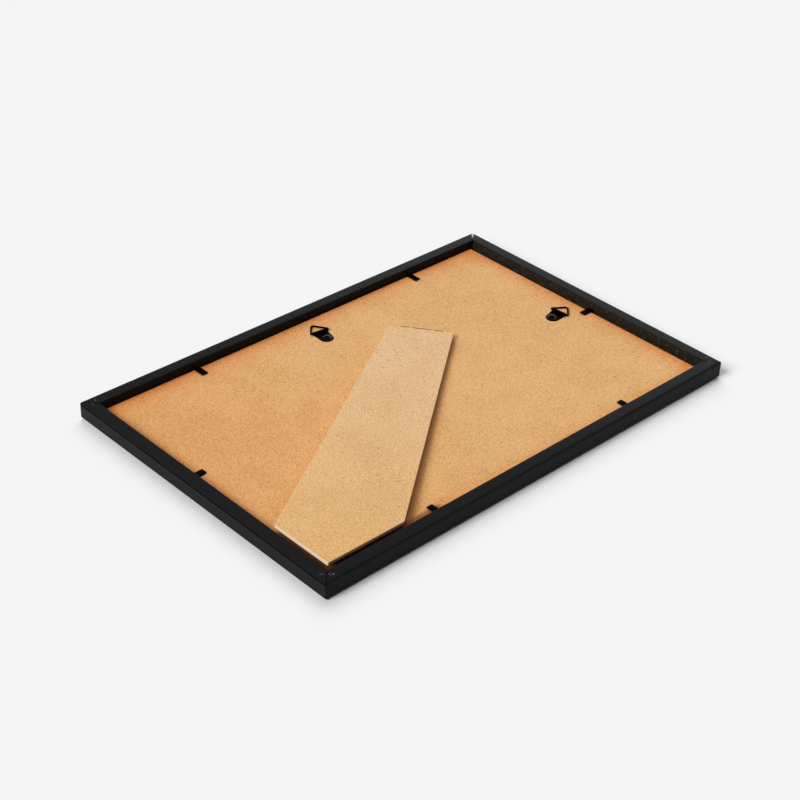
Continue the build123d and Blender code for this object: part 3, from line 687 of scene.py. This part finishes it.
def makeHanger(name, place, outward, turn, lean):
    h = hanger
    angle = np.radians(turn)
    way = np.array([outward[0] * np.cos(angle) - outward[1] * np.sin(angle),
                    outward[0] * np.sin(angle) + outward[1] * np.cos(angle), 0.0])
    wide = np.array([way[1], -way[0], 0.0])
    base = np.array([*place, h["boardTop"]])
    bore = h["wire"] / 2 + h["play"]
    barrelRadius = bore + h["plate"]
    curl = bore + h["plate"] / 2
    # plate: flat to the barrel's foot, then once round the wire
    phi = np.linspace(h["endFrom"], turnQuarter, 14)
    flatY = np.concatenate([h["end"] - h["radius"] * np.cos(phi), np.linspace(h["end"], h["reach"], 12)[1:]])
    flatWidth = np.concatenate([h["radius"] * np.sin(phi), np.linspace(h["radius"], h["barrel"] / 2, 12)[1:]])
    curlAngle = np.radians(np.linspace(h["curlFrom"], h["curlTo"], 48))[1:]
    ys = np.concatenate([flatY, h["reach"] + curl * np.cos(curlAngle)])
    zs = np.concatenate([np.full(len(flatY), h["plate"] / 2), barrelRadius + curl * np.sin(curlAngle)])
    widths = np.concatenate([flatWidth, np.full(len(curlAngle), h["barrel"] / 2)])
    normalY = np.concatenate([np.zeros(len(flatY)), -np.cos(curlAngle)])
    normalZ = np.concatenate([np.ones(len(flatY)), -np.sin(curlAngle)])
    centre = base + ys[:, None] * way + zs[:, None] * up
    normal = normalY[:, None] * way + normalZ[:, None] * up
    shell = newShell()
    sheetSweep(shell, centre, np.tile(wide, (len(ys), 1)), normal, widths, h["plate"], edge=0.35)
    makePiece(f"hanger_plate_{name}_rolled", shell, blackSteel, "frame",
              (f"hanger_plate_{name}",), 50)
    # ring: a tube on a rounded triangle that lies on the board
    halfApex = np.arctan2(h["ringBase"] / 2, h["ringHeight"])
    apexRun = h["ringHeight"] - h["ringRadii"][1] * (1 / np.sin(halfApex) - 1)
    droop = np.arcsin((barrelRadius - h["wire"] / 2 - h["restGap"]) / apexRun)
    ringWay = way * np.cos(droop) - up * np.sin(droop)
    ringUp = np.cross(wide, ringWay)
    triangle = np.array([(h["ringBase"] / 2, 0), (lean, h["ringHeight"]), (-h["ringBase"] / 2, 0)])
    line = roundedLoop(triangle, h["ringRadii"], h["ringSpacing"], 12)
    step = tangents(line)
    outFlat = unit(np.stack([step[:, 1], -step[:, 0]], axis=1))
    barrel = base + h["reach"] * way + barrelRadius * up
    tubeAngle = np.linspace(0, turnFull, 20, endpoint=False)[None, :, None]
    wireLine = barrel + line[:, :1] * wide + line[:, 1:] * ringWay
    wireOut = outFlat[:, :1] * wide + outFlat[:, 1:] * ringWay
    around = np.cos(tubeAngle) * wireOut[:, None] + np.sin(tubeAngle) * ringUp
    shell = newShell()
    addGrid(shell, wireLine[:, None] + h["wire"] / 2 * around, ring=True, edge=0.5)
    makePiece(f"hanger_ring_{name}_wire", shell, blackSteel, f"ring_{name}",
              (f"hanger_ring_{name}",), 60)
    # rivet: dome, rim, shank and clinched tail; height = rim + (rise - rim) * (1 - (r / R)^domePower)
    headBottom = h["boardTop"] + h["plate"]
    headRadius, shankRadius = h["head"] / 2, h["shank"] / 2
    r = np.linspace(h["pole"], 1, 16)
    domeHeight = headBottom + h["rim"] + (h["rise"] - h["rim"]) * (1 - r ** h["domePower"])
    flareTop = h["boardBottom"] + (h["boardTop"] - h["boardBottom"]) * h["flareShare"]
    tail = np.array([(headRadius, headBottom + h["rimFoot"]), (headRadius - h["rimInset"], headBottom),
                     (shankRadius, headBottom), (shankRadius, flareTop), (h["flare"] / 2, h["boardBottom"]),
                     (h["tailPole"], h["boardBottom"])])
    profile = np.concatenate([np.stack([headRadius * r, domeHeight], axis=1), tail])
    shell = newShell()
    lathe(shell, profile, np.array([*place, 0.0]), edge=0.25)
    makePiece(f"hanger_rivet_{name}_dome", shell, blackEnamel, "frame",
              (f"hanger_rivet_{name}",), 40)


for name, settings in hangerPlaces.items():
    makeHanger(name, *settings)
print("hangers made")

# Flex tabs: thin blades bent out of the rails' slots, tips a little raised, z = lift * (y / reach)^2
tab = {"width": 4.5, "thickness": 0.45, "reach": 8.6, "corner": 0.6, "level": 6.475, "bend": 0.325,
       "lift": 0.15, "root": -0.2, "steps": 14, "cornerSteps": 7}
# outward way, wall, and place along the rail
tabPlaces = {"long_rail_top_1": ((0, 1), 97.35, -81.79), "long_rail_top_2": ((0, 1), 97.35, 91.262),
             "long_rail_bottom_1": ((0, -1), 97.35, -83.519), "long_rail_bottom_2": ((0, -1), 97.35, 70.664),
             "short_rail_top_1": ((1, 0), 150.35, 8.469), "short_rail_bottom_1": ((-1, 0), 150.35, 13.045)}
cornerTurn = np.linspace(0, turnQuarter, tab["cornerSteps"])[1:]
straight = tab["reach"] - tab["corner"]
run = np.concatenate([np.linspace(tab["root"], straight, tab["steps"]),
                      straight + tab["corner"] * np.sin(cornerTurn)])
half = np.concatenate([np.full(tab["steps"], tab["width"] / 2),
                       tab["width"] / 2 - tab["corner"] * (1 - np.cos(cornerTurn))])
raised = tab["lift"] * np.maximum(run / tab["reach"], 0) ** 2
for name, (outward, wall, aside) in tabPlaces.items():
    out, way = sideWays(outward)
    centre = (out * (wall - tab["bend"]) + way * aside - out * run[:, None]
              + up * (tab["level"] + raised)[:, None])
    slope = unit(np.gradient(centre, axis=0))
    across = np.tile(way, (len(run), 1))
    shell = newShell()
    sheetSweep(shell, centre, across, np.cross(slope, across), half, tab["thickness"], edge=0.3)
    makePiece(f"tab_blade_{name}_strip", shell, blackSteel, f"tab_{name}",
              (f"tab_blade_{name}",), 50)
print("tabs made")

# CAD nodes that keep their own shape; every other node, of which only the tabs' shanks show, is black steel
kept = {"glazing": glass, "picture_insert": paper, "backing_board": fibreboard,
        "hinge_board_leaf": hingeSteel, "hinge_strut_leaf": hingeSteel, "hinge_pin": hingeSteel}
for name, obj in nodes.items():
    obj.data.materials.clear()
    obj.data.materials.append(kept.get(name, blackSteel))
print("CAD nodes dressed:", len(nodes))

# Stage: pale floor, soft key from -X, wide soft fill from the far side, and a backdrop that gloss sees
# bright near the horizon
stage = {"half": 6.0, "level": -5e-5}
floorMesh = bpy.data.meshes.new("paleFloor")
floorMesh.from_pydata([(stage["half"] * x, stage["half"] * y, stage["level"])
                       for x, y in ((-1, -1), (1, -1), (1, 1), (-1, 1))], [], [(0, 1, 2, 3)])
floorMesh.materials.append(makeFloor(floorTones))
floor = bpy.data.objects.new("paleFloor", floorMesh)
bpy.context.scene.collection.objects.link(floor)

light = {"keyToward": (-0.763, 0.044, 0.645), "keyEnergy": 2.79, "keyAngle": 28.6,
         "fillToward": (0.421, 0.481, 0.769), "fillEnergy": 1.49, "fillAngle": 50.0, "sky": 0.06,
         "backdrop": 0.913, "high": 0.18, "low": 1.7, "edge": (0.49, 0.57), "slant": 0.18}
for lamp in ("key", "fill"):
    sunData = bpy.data.lights.new(lamp + "Light", "SUN")
    sunData.energy = light[lamp + "Energy"]
    sunData.angle = np.radians(light[lamp + "Angle"])
    sun = bpy.data.objects.new(lamp + "Light", sunData)
    sun.rotation_mode = "QUATERNION"
    sun.rotation_quaternion = Vector(light[lamp + "Toward"]).to_track_quat("Z", "Y")
    sun.visible_glossy = False  # gloss shows the backdrop alone
    bpy.context.scene.collection.objects.link(sun)
world = bpy.data.worlds.new("studio")
world.use_nodes = True
tree = world.node_tree
rays = addNode(tree, "ShaderNodeLightPath").outputs
split = separated(tree, addNode(tree, "ShaderNodeTexCoord").outputs["Generated"])
slanted = calc(tree, "MULTIPLY", calc(tree, "SUBTRACT", split[1], split[0]), light["slant"])
height = ramp(tree, calc(tree, "ADD", split[2], slanted), *light["edge"])
mirrored = blendColour(tree, height, (light["low"],) * 3, (light["high"],) * 3)
shown = blendColour(tree, rays["Is Camera Ray"], mirrored, (light["backdrop"],) * 3)
seen = calc(tree, "MAXIMUM", rays["Is Camera Ray"], rays["Is Glossy Ray"])
seen = calc(tree, "MAXIMUM", seen, rays["Is Transmission Ray"])
tree.links.new(blendColour(tree, seen, (light["sky"],) * 3, shown), tree.nodes["Background"].inputs["Color"])
bpy.context.scene.world = world
bpy.context.scene.view_settings.view_transform = "Standard"
print("stage set")

bpy.context.view_layer.update()
